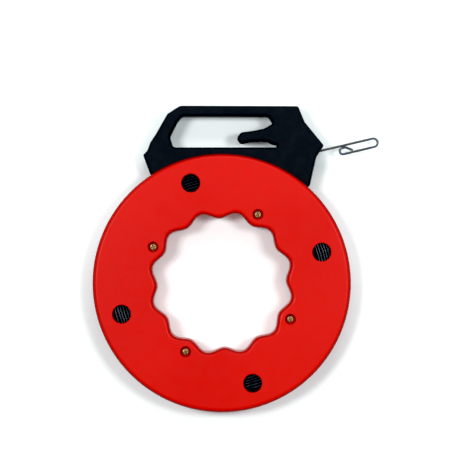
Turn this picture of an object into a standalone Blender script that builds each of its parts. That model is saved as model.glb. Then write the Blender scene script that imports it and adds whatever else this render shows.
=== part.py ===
"""Fish tape reel: a ring-shaped two-piece case turning inside a hand grip, with a wound steel tape.

Frame: origin at the middle of the footprint on the resting plane, +Z out of the front face,
+Y towards the hand grip, +X towards the hook. Shapes are laid out in millimetres about the
reel's own axis, which an empty places in that frame, and are turned into metres where a
mesh is made. Angles are in degrees, counter-clockwise from +X.
"""

import math

import bmesh
import bpy
from mathutils import Vector

# ---------------------------------------------------------------- driving dimensions (mm)
REEL_X, REEL_Y = -12.76, -21.64    # the spin axis, from the middle of the footprint
CASE_HALF = 18.0          # half of the case's thickness
SPLIT = 0.15              # each half of the case and grip stops this far from the mid plane
HOLE_GAP = 0.3            # a screw hole's radius is larger than its shank by this
OVERCUT = 2.0             # how far cutting tools run past the faces of the case

TAPE_T, TAPE_W = 1.7, 3.2
TAPE_LINE_R = 94.6        # distance of the straight tape from the spin axis
TAPE_ANGLE = 13.3         # direction of the straight tape

# Screws: radii of shank and head, height of head, length of shank below the seat.
CASE_SCREW = dict(shank_r=1.5, head_r=3.0, head_h=2.2, length=20.5)
ANCHOR_SCREW = dict(shank_r=1.5, head_r=2.9, head_h=1.9, length=7.5)
GRIP_SCREW = dict(shank_r=1.4, head_r=2.7, head_h=1.8, length=18.6)

MM_PER_M = 1000
SHARP_ANGLE = math.radians(35)     # edges sharper than this are not smoothed


# ---------------------------------------------------------------- scene and materials
for old_object in list(bpy.data.objects):
    bpy.data.objects.remove(old_object, do_unlink=True)


def material(name, colour, roughness, metallic=0.0):
    made = bpy.data.materials.new(name)
    made.use_nodes = True
    shader = made.node_tree.nodes["Principled BSDF"]
    shader.inputs["Base Color"].default_value = (*colour, 1.0)
    shader.inputs["Roughness"].default_value = roughness
    shader.inputs["Metallic"].default_value = metallic
    return made


RED = material("red_abs", colour=(0.72, 0.012, 0.010), roughness=0.38)
BLACK = material("black_grip", colour=(0.006, 0.008, 0.014), roughness=0.45)
ZINC = material("yellow_zinc", colour=(0.70, 0.48, 0.16), roughness=0.32, metallic=1.0)
DARK_ZINC = material("black_zinc", colour=(0.05, 0.05, 0.055), roughness=0.40, metallic=1.0)
STEEL = material("tape_steel", colour=(0.16, 0.17, 0.17), roughness=0.35, metallic=1.0)
ACETAL = material("acetal", colour=(0.75, 0.74, 0.70), roughness=0.45)
NYLON = material("nylon_guide", colour=(0.02, 0.02, 0.022), roughness=0.5)


# ---------------------------------------------------------------- frames
def empty(name, at=(0, 0, 0), parent=None):
    made = bpy.data.objects.new(name, None)
    made.location = Vector(at) / MM_PER_M
    made.parent = parent
    bpy.context.scene.collection.objects.link(made)
    return made


def polar(radius, degrees, z=0.0):
    turn = math.radians(degrees)
    return Vector((radius * math.cos(turn), radius * math.sin(turn), z))


TAPE_DIR = polar(1, TAPE_ANGLE)
TAPE_LEFT = polar(1, TAPE_ANGLE + 90)
TANGENT = polar(TAPE_LINE_R, TAPE_ANGLE + 90)      # where the straight tape leaves the coil

TAPE_PLANE = empty("tape_plane", (REEL_X, REEL_Y, CASE_HALF))
GRIP_FRAME = empty("grip_frame", parent=TAPE_PLANE)
REEL_AXIS = empty("reel_axis", parent=TAPE_PLANE)
FEED_AXIS = empty("feed_axis", TANGENT, TAPE_PLANE)


def along_tape(distance, left=0.0):
    """A point at a distance along the straight tape from its tangent point, and left of it."""
    return TANGENT + TAPE_DIR * distance + TAPE_LEFT * left


# ---------------------------------------------------------------- objects and booleans
def to_mesh(name, shape, origin=(0, 0, 0)):
    """A mesh in metres about an origin, from a bmesh in millimetres, which is freed."""
    bmesh.ops.recalc_face_normals(shape, faces=shape.faces)
    for vert in shape.verts:
        vert.co = (vert.co - Vector(origin)) / MM_PER_M
    mesh = bpy.data.meshes.new(name)
    shape.to_mesh(mesh)
    shape.free()
    return mesh


def shade(mesh):
    mesh.shade_smooth()
    mesh.set_sharp_from_angle(angle=SHARP_ANGLE)


def make(name, shape, mat, parent, origin=(0, 0, 0)):
    """An object from a bmesh, with its own origin, under a parent empty."""
    mesh = to_mesh(name, shape, origin)
    mesh.materials.append(mat)
    shade(mesh)
    made = bpy.data.objects.new(name, mesh)
    made.parent = parent
    made.location = Vector(origin) / MM_PER_M - parent.location
    bpy.context.scene.collection.objects.link(made)
    return made


def combine(target, shape, operation):
    """Boolean of the target with the solids in a bmesh, applied to the target's mesh."""
    tool_mesh = to_mesh("tool", shape)
    tool = bpy.data.objects.new("tool", tool_mesh)
    tool.parent = TAPE_PLANE
    tool.hide_render = True
    bpy.context.scene.collection.objects.link(tool)
    modifier = target.modifiers.new("tool", "BOOLEAN")
    modifier.operation = operation
    modifier.solver = "EXACT"
    modifier.use_self = operation == "UNION"
    modifier.object = tool
    bpy.context.view_layer.update()
    graph = bpy.context.evaluated_depsgraph_get()
    result = bpy.data.meshes.new_from_object(target.evaluated_get(graph))
    old_mesh = target.data
    target.modifiers.clear()
    target.data = result
    result.name = target.name
    bpy.data.meshes.remove(old_mesh)
    bpy.data.objects.remove(tool, do_unlink=True)
    bpy.data.meshes.remove(tool_mesh)
    shade(result)


def cut(target, shape):
    combine(target, shape, "DIFFERENCE")


def join(target, shape):
    combine(target, shape, "UNION")


# ---------------------------------------------------------------- solids, added to a bmesh
def bridge(shape, rings, closed):
    """Quads between neighbouring vertex rings; closed joins the last ring to the first."""
    count = len(rings[0])
    for first, second in zip(rings, rings[1:] + rings[:1] if closed else rings[1:]):
        for j in range(count):
            k = (j + 1) % count
            shape.faces.new((first[j], first[k], second[k], second[j]))


def sweep(shape, sections, closed=False):
    """Skins a list of point loops of equal length, capped at both ends unless closed."""
    rings = [[shape.verts.new(point) for point in loop] for loop in sections]
    bridge(shape, rings, closed)
    if not closed:
        shape.faces.new(rings[0])
        shape.faces.new(rings[-1])
    return shape


def turned(shape, profile, start, end, steps):
    """A profile of (radius, z), or a function of the angle giving one, about the spin axis."""
    whole = end - start >= 360
    sections = []
    for i in range(steps if whole else steps + 1):
        angle = start + (end - start) * i / steps
        loop = profile(angle) if callable(profile) else profile
        sections.append([polar(radius, angle, z) for radius, z in loop])
    return sweep(shape, sections, closed=whole)


def mirrored(half_profile):
    """A profile of (radius, z) closed by its mirror image across the mid plane."""
    return half_profile + [(radius, -z) for radius, z in reversed(half_profile)]


def round_stack(shape, centre, levels, steps, phase):
    """A round solid along Z through (radius, z) levels; phase turns it by parts of a step."""
    return sweep(shape, [
        [Vector((centre.x, centre.y, z)) + polar(radius, 360 * (i + phase) / steps)
         for i in range(steps)]
        for radius, z in levels
    ])


def disc(shape, centre, radius, z_from, z_to, steps):
    """A round bar along Z."""
    levels = [(radius, z) for z in sorted((z_from, z_to))]
    return round_stack(shape, centre, levels, steps, phase=0.5)


def discs(centres, radius, z_from, z_to, steps):
    """A new bmesh with the same round bar at each centre."""
    shape = bmesh.new()
    for centre in centres:
        disc(shape, centre, radius, z_from, z_to, steps)
    return shape


def prism(shape, outline, z_from, z_to):
    """A straight prism along Z of a closed outline."""
    levels = sorted((z_from, z_to))
    return sweep(shape, [[Vector((p[0], p[1], z)) for p in outline] for z in levels])


def tape_bar(start, end, half_left, half_z):
    """A new bmesh with a rectangular bar lying along the straight tape."""
    outline = [
        along_tape(start, -half_left), along_tape(end, -half_left),
        along_tape(end, half_left), along_tape(start, half_left),
    ]
    return prism(bmesh.new(), outline, -half_z, half_z)


# ---------------------------------------------------------------- outlines
def mitre(before, after):
    """Offset to the left, at unit distance from both of two unit directions that meet."""
    left_before = Vector((-before.y, before.x))
    left_after = Vector((-after.y, after.x))
    return (left_before + left_after) / (1 + left_before.dot(left_after))


def offset_corners(corners, inset):
    """Corners (x, y, radius) moved to the left of their run; mitred, radii follow."""
    moved = []
    for i, (x, y, radius) in enumerate(corners):
        here = Vector((x, y))
        before = (here - Vector(corners[i - 1][:2])).normalized()
        after = (Vector(corners[(i + 1) % len(corners)][:2]) - here).normalized()
        turns_left = before.x * after.y - before.y * after.x > 0
        if radius:
            radius = max(radius - inset, 0.05) if turns_left else radius + inset
        moved.append((here + mitre(before, after) * inset, radius))
    return moved


def rounded(corners, inset=0.0, steps=3):
    """The corner list as points, with each corner of a radius replaced by an arc."""
    moved = offset_corners(corners, inset)
    points = []
    for i, (here, radius) in enumerate(moved):
        if not radius:
            points.append(here)
            continue
        back = (moved[i - 1][0] - here).normalized()
        ahead = (moved[(i + 1) % len(moved)][0] - here).normalized()
        half = back.angle(ahead) / 2
        reach = radius / math.tan(half)
        centre = here + (back + ahead).normalized() * (radius / math.sin(half))
        first = here + back * reach - centre
        last = here + ahead * reach - centre
        start = math.atan2(first.y, first.x)
        turn = math.atan2(last.y, last.x) - start
        turn = (turn + math.pi) % (2 * math.pi) - math.pi
        for k in range(steps + 1):
            angle = start + turn * k / steps
            points.append(centre + Vector((math.cos(angle), math.sin(angle))) * radius)
    return points


def fill_loops(shape, loops):
    """Fills the area between an outer loop of vertices and the holes in it."""
    edges = []
    for loop in loops:
        for pair in zip(loop, loop[1:] + loop[:1]):
            edges.append(shape.edges.get(pair) or shape.edges.new(pair))
    bmesh.ops.triangle_fill(shape, use_beauty=True, use_dissolve=False, edges=edges)


# ---------------------------------------------------------------- screws
SCREW_STEPS = 14
TIP_SHARE, TIP_LENGTH = 0.45, 1.4     # end radius as a share of the shank's; taper length
HEAD_LIFT = 0.1                       # underside of the head above the seat
RIM_SHARE, CROWN_SHARE = 0.55, 0.70   # rim height by head height; crown radius by head radius
CROSS_ARM, CROSS_HALF = 0.52, 0.15    # cross recess reach and half width, by head radius
CROSS_FLOOR = 0.3                     # cross recess floor, by head height


def screw(name, centre, seat_z, up, size, mat, parent):
    """A pan-head screw seated at seat_z, its head towards up (+1 or -1)."""
    shank_r, head_r, head_h = size["shank_r"], size["head_r"], size["head_h"]
    levels = [
        (shank_r * TIP_SHARE, -size["length"]), (shank_r, -size["length"] + TIP_LENGTH),
        (shank_r, HEAD_LIFT), (head_r, HEAD_LIFT),
        (head_r, head_h * RIM_SHARE), (head_r * CROWN_SHARE, head_h),
    ]
    levels = [(radius, seat_z + up * z) for radius, z in levels]
    body = round_stack(bmesh.new(), centre, levels, SCREW_STEPS, phase=0)
    made = make(name, body, mat, parent, (centre.x, centre.y, seat_z))

    arm, half_width = head_r * CROSS_ARM, head_r * CROSS_HALF
    cross = []
    for k in range(4):
        outward, across = polar(1, 90 * k), polar(1, 90 * k + 90)
        cross += [
            centre + outward * arm - across * half_width,
            centre + outward * arm + across * half_width,
            centre + outward * half_width + across * half_width,
        ]
    floor_z, top_z = seat_z + up * head_h * CROSS_FLOOR, seat_z + up * (head_h + 1)
    cut(made, prism(bmesh.new(), cross, floor_z, top_z))


# ---------------------------------------------------------------- case halves
CASE_R = 115.0            # outer radius of the case
PLATE_T = 3.0             # wall of the flat faces
PLATE_IN = CASE_HALF - PLATE_T
FLANGE_IN = 13.5          # inner face of the rim flanges: half the width of the rim channel
CHANNEL_R = 107.0         # floor of the rim channel
DRUM_R = 104.5            # inside of the wall under the channel
SLOT_HALF = 4.0           # half the width of the circular tape slot
RIM_FILLET = 3.6
HUB_FILLET = 4.2
FILLET_TURNS = [math.radians(30 * k) for k in range(4)]
HUB_R = 60.1              # mean radius of the scalloped hand hole
HUB_DRAFT = 0.6           # the hole's wall leans back this much towards each face
HUB_WAVE = 2.85           # depth of the finger scallops about the mean
HUB_LOBES = 12
LOBE_PHASE = 17.2         # angle of the first outward scallop, and of the first window
HUB_WALL = 2.6
CASE_STEPS = 72

WINDOW_R, WINDOW_AT = 8.25, 93.2
BOSS_AT, BOSS_PHASE = 69.0, 62.2
FRONT_BOSS_R, REAR_BOSS_R = 6.5, 4.6
BOSS_SINK = 1.0           # bosses and the anchor post run this far into the plate
CBORE_R, CBORE_FLOOR = 4.75, 11.0
BORE_OVERCUT = 2.5        # the front screw bores run this far past the counterbore floor
REAR_PILOT_END = -11.0
WEB_IN, WEB_OUT, WEB_HALF = 59.0, 66.0, 1.5     # radial span and half thickness
WEB_START, WEB_SINK = 1.5, 0.8                  # from the mid plane, and into the plate
CASE_HOLE_R = CASE_SCREW["shank_r"] + HOLE_GAP

ANCHOR_ANGLE, ANCHOR_AT = 107.2, 73.5
ANCHOR = polar(ANCHOR_AT, ANCHOR_ANGLE)
ANCHOR_HOLE_R = ANCHOR_SCREW["shank_r"] + HOLE_GAP
POST_R, POST_TOP = 4.2, -6.4
POST_HOLE_LOW, POST_HOLE_HIGH = -13.5, -4.0

BOSS_ANGLES = [BOSS_PHASE + 90 * k for k in range(4)]
BOSSES = [polar(BOSS_AT, angle) for angle in BOSS_ANGLES]
WINDOWS = [polar(WINDOW_AT, LOBE_PHASE + 90 * k) for k in range(4)]


def case_profile(side):
    """Section of one case half at an angle; side is +1 for the front, -1 for the rear."""

    def section(angle):
        inner = HUB_R + HUB_WAVE * math.cos(math.radians(HUB_LOBES * (angle - LOBE_PHASE)))
        outer = inner + HUB_WALL
        points = [(CHANNEL_R, SLOT_HALF), (CHANNEL_R, FLANGE_IN), (CASE_R, FLANGE_IN)]
        points += [
            (CASE_R - RIM_FILLET * (1 - math.cos(turn)),
             CASE_HALF - RIM_FILLET * (1 - math.sin(turn)))
            for turn in FILLET_TURNS
        ]
        points += [
            (inner + HUB_DRAFT + HUB_FILLET * (1 - math.sin(turn)),
             CASE_HALF - HUB_FILLET * (1 - math.cos(turn)))
            for turn in FILLET_TURNS
        ]
        points += [
            (inner, SPLIT), (outer, SPLIT), (outer + HUB_DRAFT, PLATE_IN),
            (DRUM_R, PLATE_IN), (DRUM_R, SLOT_HALF),
        ]
        return [(radius, side * z) for radius, z in points]

    return section


def boss_webs(side):
    """Radial webs that tie the screw bosses to the hub wall."""
    webs = bmesh.new()
    for angle in BOSS_ANGLES:
        outward, across = polar(1, angle), polar(1, angle + 90)
        outline = [
            outward * WEB_IN - across * WEB_HALF, outward * WEB_OUT - across * WEB_HALF,
            outward * WEB_OUT + across * WEB_HALF, outward * WEB_IN + across * WEB_HALF,
        ]
        prism(webs, outline, side * WEB_START, side * (PLATE_IN + WEB_SINK))
    return webs


def case_holes(side):
    """Windows, with the counterbores of the front half or the screw holes of the rear."""
    holes = bmesh.new()
    for window, boss in zip(WINDOWS, BOSSES):
        disc(holes, window, WINDOW_R, side * (PLATE_IN - OVERCUT), side * (CASE_HALF + OVERCUT), 32)
        if side > 0:
            disc(holes, boss, CBORE_R, CBORE_FLOOR, CASE_HALF + OVERCUT, 24)
        else:
            disc(holes, boss, CASE_HOLE_R, REAR_PILOT_END, OVERCUT, 12)
    if side < 0:
        disc(holes, ANCHOR, ANCHOR_HOLE_R, POST_HOLE_LOW, POST_HOLE_HIGH, 12)
    return holes


def case_half(name, side):
    start = LOBE_PHASE - 180 / HUB_LOBES
    shell = turned(bmesh.new(), case_profile(side), start, start + 360, CASE_STEPS)
    half = make(name, shell, RED, REEL_AXIS)
    boss_r = FRONT_BOSS_R if side > 0 else REAR_BOSS_R
    join(half, discs(BOSSES, boss_r, side * SPLIT, side * (PLATE_IN + BOSS_SINK), 20))
    join(half, boss_webs(side))
    if side < 0:
        join(half, discs([ANCHOR], POST_R, -(PLATE_IN + BOSS_SINK), POST_TOP, 20))
    cut(half, case_holes(side))
    if side > 0:
        cut(half, discs(BOSSES, CASE_HOLE_R, -OVERCUT, CBORE_FLOOR + BORE_OVERCUT, 12))


case_half("case_front", 1)
case_half("case_rear", -1)

for i, boss_centre in enumerate(BOSSES):
    screw(f"case_screw_{i + 1}", boss_centre, CBORE_FLOOR, 1, CASE_SCREW, ZINC, REEL_AXIS)


# ---------------------------------------------------------------- wound tape
COIL_IN, COIL_OUT, COIL_HALF = 83.5, 100.2, 11.3
COIL_GROOVE_R, COIL_GROOVE_HALF = 91.1, 2.6
COIL_STEPS = 60

coil_profile = mirrored([
    (COIL_IN, -COIL_HALF), (COIL_OUT, -COIL_HALF),
    (COIL_OUT, -COIL_GROOVE_HALF), (COIL_GROOVE_R, -COIL_GROOVE_HALF),
])
make("tape_coil", turned(bmesh.new(), coil_profile, 0, 360, COIL_STEPS), STEEL, REEL_AXIS)


# ---------------------------------------------------------------- anchor of the wound tape
CLIP_LOW, CLIP_HIGH, CLIP_T = -6.0, 3.0, 1.2
CLIP_IN, CLIP_OUT, CLIP_HALF = 69.0, 82.6, 4.5    # radial span and half width
CLIP_SCREW_LIFT = 0.2


def anchor_clip():
    """An L-shaped clip: a foot on the anchor post and a lip standing inside the coil."""
    outward, across = polar(1, ANCHOR_ANGLE), polar(1, ANCHOR_ANGLE + 90)
    foot_top, lip_in = CLIP_LOW + CLIP_T, CLIP_OUT - CLIP_T
    side_view = [
        (CLIP_IN, CLIP_LOW), (CLIP_OUT, CLIP_LOW), (CLIP_OUT, CLIP_HIGH),
        (lip_in, CLIP_HIGH), (lip_in, foot_top), (CLIP_IN, foot_top),
    ]
    body = sweep(bmesh.new(), [
        [outward * radius + across * width + Vector((0, 0, z)) for radius, z in side_view]
        for width in (-CLIP_HALF, CLIP_HALF)
    ])
    clip = make("tape_anchor_clip", body, STEEL, REEL_AXIS)
    cut(clip, discs([ANCHOR], ANCHOR_HOLE_R, CLIP_LOW - 1, foot_top + 1, 12))


anchor_clip()
screw(
    "tape_anchor_screw", ANCHOR, CLIP_LOW + CLIP_T + CLIP_SCREW_LIFT, 1,
    ANCHOR_SCREW, ZINC, REEL_AXIS,
)


# ---------------------------------------------------------------- free end of the tape, with its hook
LEADER_MID = 60.0         # a station on the straight run
FAR_BEND = 161.0          # centre of the far bend, along the tape
STRAND_GAP = 7.6          # distance between the two long strands
NEAR_BEND = 132.7         # centre of the near bend
NEAR_R = 2.9
LIP_AHEAD, LIP_R = 1.8, 4.0             # last bend: centre ahead of the near bend, and radius
TIP_AHEAD, TIP_LEFT = 7.5, 2.35         # tip: ahead of the near bend, left of the return strand


def arc(centre, radius, start, end, steps):
    return [centre + polar(radius, start + (end - start) * i / steps) for i in range(steps + 1)]


def hook_path():
    """Centre line: the straight run, back round the far bend, and in round the near bend."""
    left, right = TAPE_ANGLE + 90, TAPE_ANGLE - 90
    far = along_tape(FAR_BEND, -STRAND_GAP / 2)
    near = along_tape(NEAR_BEND, -STRAND_GAP + NEAR_R)
    lip = along_tape(NEAR_BEND + LIP_AHEAD, NEAR_R * 2 - STRAND_GAP - LIP_R)
    path = [TANGENT, along_tape(LEADER_MID)]
    path += arc(far, STRAND_GAP / 2, left, right, 8)
    path += arc(near, NEAR_R, right, right - 180, 8)
    path += arc(lip, LIP_R, left, left - 40, 3)
    path.append(along_tape(NEAR_BEND + TIP_AHEAD, -STRAND_GAP + TIP_LEFT))
    return [point.xy for point in path]


def tape_sections(path):
    """Rectangular sections of the tape, mitred at each point of its path."""
    sections = []
    for i, here in enumerate(path):
        before = (here - path[i - 1]).normalized() if i else (path[1] - here).normalized()
        after = (path[i + 1] - here).normalized() if i + 1 < len(path) else before
        offset = mitre(before, after) * TAPE_T / 2
        left, right = here + offset, here - offset
        low, high = -TAPE_W / 2, TAPE_W / 2
        corners = ((left, low), (right, low), (right, high), (left, high))
        sections.append([Vector((point.x, point.y, z)) for point, z in corners])
    return sections


make("tape_leader", sweep(bmesh.new(), tape_sections(hook_path())), STEEL, FEED_AXIS, TANGENT)


# ---------------------------------------------------------------- hand grip
GRIP_HALF = 13.0          # half of the grip's thickness
SHOE_R = 107.5            # underside of the grip, in the rim channel
SHOE_STEPS = 22
FOOT_RIGHT, FOOT_LEFT = 48.2, 122.8       # ends of the shoe on the rim, degrees
GRIP_EDGE = 1.8           # rounding of the grip's outer edges
EDGE_MID = 0.3            # middle station of that rounding, as a share of it
GRIP_WALL = 2.8
POCKET_TOP = GRIP_HALF - GRIP_WALL

# Corners as (x, y, corner radius), counter-clockwise, starting at the right foot.
GRIP_OUTLINE = [
    (78.7, 87.1, 0.0), (84.4, 112.5, 9.0), (91.2, 122.6, 1.7), (73.9, 143.8, 7.0),
    (68.2, 157.8, 2.4), (-37.2, 158.2, 6.0), (-48.6, 150.8, 6.0), (-58.5, 133.3, 12.0),
    (-63.8, 125.3, 6.0), (-66.4, 118.2, 4.0), (-70.2, 114.1, 1.8), (-63.7, 96.5, 0.0),
]
# The hand opening, same columns. It runs clockwise so that an inset widens it; a tongue
# of the grip reaches into it from the right.
GRIP_OPENING = [
    (-35.6, 148.5, 4.0), (41.3, 148.4, 3.0), (45.6, 142.2, 1.6), (37.9, 137.8, 8.0),
    (29.0, 135.9, 9.0), (17.3, 134.3, 3.3), (12.9, 129.1, 3.5), (17.0, 124.0, 2.7),
    (26.0, 126.0, 9.0), (35.0, 126.7, 8.0), (41.4, 125.7, 5.0), (45.6, 123.5, 3.0),
    (49.0, 123.6, 1.2), (49.0, 121.0, 1.2), (-43.4, 121.0, 3.0), (-46.3, 130.2, 3.4),
    (-39.8, 143.2, 5.0),
]
# Hollows inside each half, same columns, counter-clockwise for the right one.
POCKET_RIGHT = [
    (53.0, 118.0, 2.0), (75.0, 123.6, 2.0), (83.4, 125.2, 1.5), (70.0, 141.2, 5.0),
    (65.4, 153.2, 1.5), (49.6, 153.2, 2.0), (49.6, 143.5, 2.0), (53.0, 140.0, 2.0),
]
POCKET_LEFT = [
    (-60.0, 113.2, 1.2), (-47.2, 113.0, 1.2), (-47.0, 117.8, 1.2), (-49.6, 125.0, 2.0),
    (-59.0, 122.0, 1.2),
]

GRIP_SCREWS = [
    Vector((x, y, 0))
    for x, y in ((-51.3, 133.6), (-59.6, 107.6), (59.0, 146.6), (76.0, 128.4), (71.0, 102.0))
]
POST_SCREWS = GRIP_SCREWS[2:4]            # the screws in the right pocket, which need posts
GRIP_POST_R, GRIP_POST_SINK = 3.6, 1.0
GRIP_SEAT = -10.4
GRIP_HOLE_R = GRIP_SCREW["shank_r"] + HOLE_GAP
GRIP_CBORE_R = GRIP_SCREW["head_r"] + 0.5
GRIP_PILOT_END = 9.4

# Runners: start and end of each arc, degrees. Section: flange radii and half width,
# stem half width, then head radii and half width.
RUNNERS = {"runner_left": (88.0, 119.0), "runner_right": (51.5, 65.0)}
RUNNER_STEPS = 8
FLANGE_LOW, FLANGE_HIGH, FLANGE_HALF = 101.4, 103.9, 8.0
STEM_HALF, HEAD_LOW, HEAD_HIGH, HEAD_HALF = 3.5, 110.9, 113.0, 6.0
RUNNER_SIDE_GAP, RUNNER_RADIAL_GAP, RUNNER_END_GAP = 0.3, 0.35, 0.4    # last in degrees
RUNNER_CUT_LOW = SHOE_R - 1.5

# Tape way and guide: start and end along the straight tape, then half sizes.
WAY_START, WAY_END, WAY_HALF_LEFT, WAY_HALF_Z = 44.0, 100.5, 2.4, 2.8
GUIDE_START, GUIDE_END, GUIDE_HALF = 99.0, 110.8, 3.1
RIB_START, RIB_END, RIB_HALF = 102.5, 105.0, 4.7
SEAT_END = 125.0
SEAT_GAP, SEAT_END_GAP, RIB_GAP = 0.3, 0.4, 0.35
TAPE_GAP = 0.45


def shoe_corners():
    """The concave underside that runs in the rim channel, from the left foot to the right."""
    return [
        (*polar(SHOE_R, FOOT_LEFT + (FOOT_RIGHT - FOOT_LEFT) * i / SHOE_STEPS).xy, 0.0)
        for i in range(SHOE_STEPS + 1)
    ]


def grip_body(side):
    """One half of the grip as a solid with a rounded outer edge and the hand opening."""
    shape = bmesh.new()
    levels = [      # (inset, z)
        (0.0, SPLIT), (0.0, GRIP_HALF - GRIP_EDGE),
        (EDGE_MID * GRIP_EDGE, GRIP_HALF - EDGE_MID * GRIP_EDGE), (GRIP_EDGE, GRIP_HALF),
    ]
    walls = []
    for corners in (GRIP_OUTLINE + shoe_corners(), GRIP_OPENING):
        rings = [
            [shape.verts.new((point.x, point.y, side * z)) for point in rounded(corners, inset)]
            for inset, z in levels
        ]
        bridge(shape, rings, closed=False)
        walls.append(rings)
    for level in (0, -1):
        fill_loops(shape, [rings[level] for rings in walls])
    return shape


def grip_pockets(side):
    pockets = bmesh.new()
    for corners in (POCKET_RIGHT, POCKET_LEFT):
        prism(pockets, rounded(corners, steps=2), -side * 1.0, side * POCKET_TOP)
    return pockets


def runner_seats():
    """T-shaped grooves for the runners, with clearance all round."""
    seats = bmesh.new()
    stem, head = STEM_HALF + RUNNER_SIDE_GAP, HEAD_HALF + RUNNER_SIDE_GAP
    head_low, head_high = HEAD_LOW - RUNNER_RADIAL_GAP, HEAD_HIGH + RUNNER_RADIAL_GAP
    section = mirrored([
        (RUNNER_CUT_LOW, -stem), (head_low, -stem), (head_low, -head), (head_high, -head),
    ])
    for first, last in RUNNERS.values():
        turned(seats, section, first - RUNNER_END_GAP, last + RUNNER_END_GAP, RUNNER_STEPS)
    return seats


def grip_half(name, side):
    half = make(name, grip_body(side), BLACK, GRIP_FRAME)
    cut(half, grip_pockets(side))
    post_top = side * (POCKET_TOP + GRIP_POST_SINK)
    join(half, discs(POST_SCREWS, GRIP_POST_R, side * SPLIT, post_top, 16))
    cut(half, tape_bar(WAY_START, WAY_END, WAY_HALF_LEFT, WAY_HALF_Z))
    seat_half, rib_half = GUIDE_HALF + SEAT_GAP, RIB_HALF + RIB_GAP
    cut(half, tape_bar(GUIDE_START - SEAT_END_GAP, SEAT_END, seat_half, seat_half))
    cut(half, tape_bar(RIB_START - RIB_GAP, RIB_END + RIB_GAP, rib_half, rib_half))
    cut(half, runner_seats())
    if side > 0:
        cut(half, discs(GRIP_SCREWS, GRIP_HOLE_R, -1.0, GRIP_PILOT_END, 12))
    else:
        cut(half, discs(GRIP_SCREWS, GRIP_CBORE_R, -GRIP_HALF - 1, GRIP_SEAT, 16))
        cut(half, discs(GRIP_SCREWS, GRIP_HOLE_R, GRIP_SEAT - 1.0, 1.0, 12))


grip_half("handle_front", 1)
grip_half("handle_rear", -1)

for i, screw_centre in enumerate(GRIP_SCREWS):
    screw(f"handle_screw_{i + 1}", screw_centre, GRIP_SEAT, -1, GRIP_SCREW, DARK_ZINC, GRIP_FRAME)


# ---------------------------------------------------------------- runners and tape guide
runner_profile = mirrored([
    (FLANGE_LOW, -FLANGE_HALF), (FLANGE_HIGH, -FLANGE_HALF), (FLANGE_HIGH, -STEM_HALF),
    (HEAD_LOW, -STEM_HALF), (HEAD_LOW, -HEAD_HALF), (HEAD_HIGH, -HEAD_HALF),
])
for runner_name, (arc_start, arc_end) in RUNNERS.items():
    runner = turned(bmesh.new(), runner_profile, arc_start, arc_end, RUNNER_STEPS)
    make(runner_name, runner, ACETAL, GRIP_FRAME)


def tape_guide():
    """A square block with a rib round it, and a slot through it for the tape."""
    block = tape_bar(GUIDE_START, GUIDE_END, GUIDE_HALF, GUIDE_HALF)
    guide = make("tape_guide", block, NYLON, GRIP_FRAME)
    join(guide, tape_bar(RIB_START, RIB_END, RIB_HALF, RIB_HALF))
    slot_left, slot_z = TAPE_T / 2 + TAPE_GAP, TAPE_W / 2 + TAPE_GAP
    cut(guide, tape_bar(GUIDE_START - OVERCUT, GUIDE_END + OVERCUT, slot_left, slot_z))


tape_guide()
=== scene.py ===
"""Looks of the fish tape reel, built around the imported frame. Lengths are in millimetres about
the reel's axis in the plane of the tape, and become metres in the frame when a mesh is made."""

import math

import bmesh
import bpy
import numpy as np
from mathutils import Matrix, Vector

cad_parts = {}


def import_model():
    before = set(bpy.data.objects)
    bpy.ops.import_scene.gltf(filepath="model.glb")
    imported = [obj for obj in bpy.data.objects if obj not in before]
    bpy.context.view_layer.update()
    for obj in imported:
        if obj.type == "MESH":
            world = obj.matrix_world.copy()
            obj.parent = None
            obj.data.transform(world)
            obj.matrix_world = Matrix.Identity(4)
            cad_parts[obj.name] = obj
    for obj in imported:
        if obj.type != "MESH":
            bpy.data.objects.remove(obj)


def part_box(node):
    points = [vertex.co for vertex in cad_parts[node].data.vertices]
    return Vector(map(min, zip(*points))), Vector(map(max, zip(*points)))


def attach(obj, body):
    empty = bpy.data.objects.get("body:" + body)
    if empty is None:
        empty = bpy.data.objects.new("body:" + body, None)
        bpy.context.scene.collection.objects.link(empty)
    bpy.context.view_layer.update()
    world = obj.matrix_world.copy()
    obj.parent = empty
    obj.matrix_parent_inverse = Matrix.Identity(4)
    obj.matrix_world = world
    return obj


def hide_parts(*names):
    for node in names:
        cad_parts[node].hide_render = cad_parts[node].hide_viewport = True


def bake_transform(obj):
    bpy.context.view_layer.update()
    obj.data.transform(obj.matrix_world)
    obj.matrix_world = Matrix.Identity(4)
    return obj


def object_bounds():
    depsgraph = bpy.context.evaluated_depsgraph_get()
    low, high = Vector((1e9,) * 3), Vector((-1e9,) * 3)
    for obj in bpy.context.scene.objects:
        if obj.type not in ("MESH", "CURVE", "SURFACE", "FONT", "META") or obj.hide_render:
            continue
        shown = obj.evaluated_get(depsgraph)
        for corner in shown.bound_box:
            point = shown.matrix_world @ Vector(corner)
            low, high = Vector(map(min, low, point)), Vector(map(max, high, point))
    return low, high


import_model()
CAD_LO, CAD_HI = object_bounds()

# ------------------------------------------------------------------ frame of the shapes
_front_lo, _front_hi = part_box("case_front")
_rear_lo, _rear_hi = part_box("case_rear")
CENTRE = np.array([
    (_front_lo.x + _front_hi.x) / 2, (_front_lo.y + _front_hi.y) / 2, (_front_hi.z + _rear_lo.z) / 2,
])
CASE_HALF = (_front_hi.z - _rear_lo.z) * 500
CASE_R = 115.0
PLATE_T, FLANGE_IN, CHANNEL_R, DRUM_R, SLOT_HALF = 3.0, 13.5, 107.0, 104.5, 4.0
HUB_R, HUB_DRAFT, HUB_WAVE, HUB_LOBES, LOBE_PHASE, HUB_WALL, SPLIT = 60.1, 0.6, 2.85, 12, 17.2, 2.6, 0.15
WINDOW_R, WINDOW_AT = 8.25, 93.2
BOSS_AT, BOSS_PHASE = 69.0, 62.2
CBORE_R, CBORE_FLOOR = 4.75, 11.0
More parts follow.
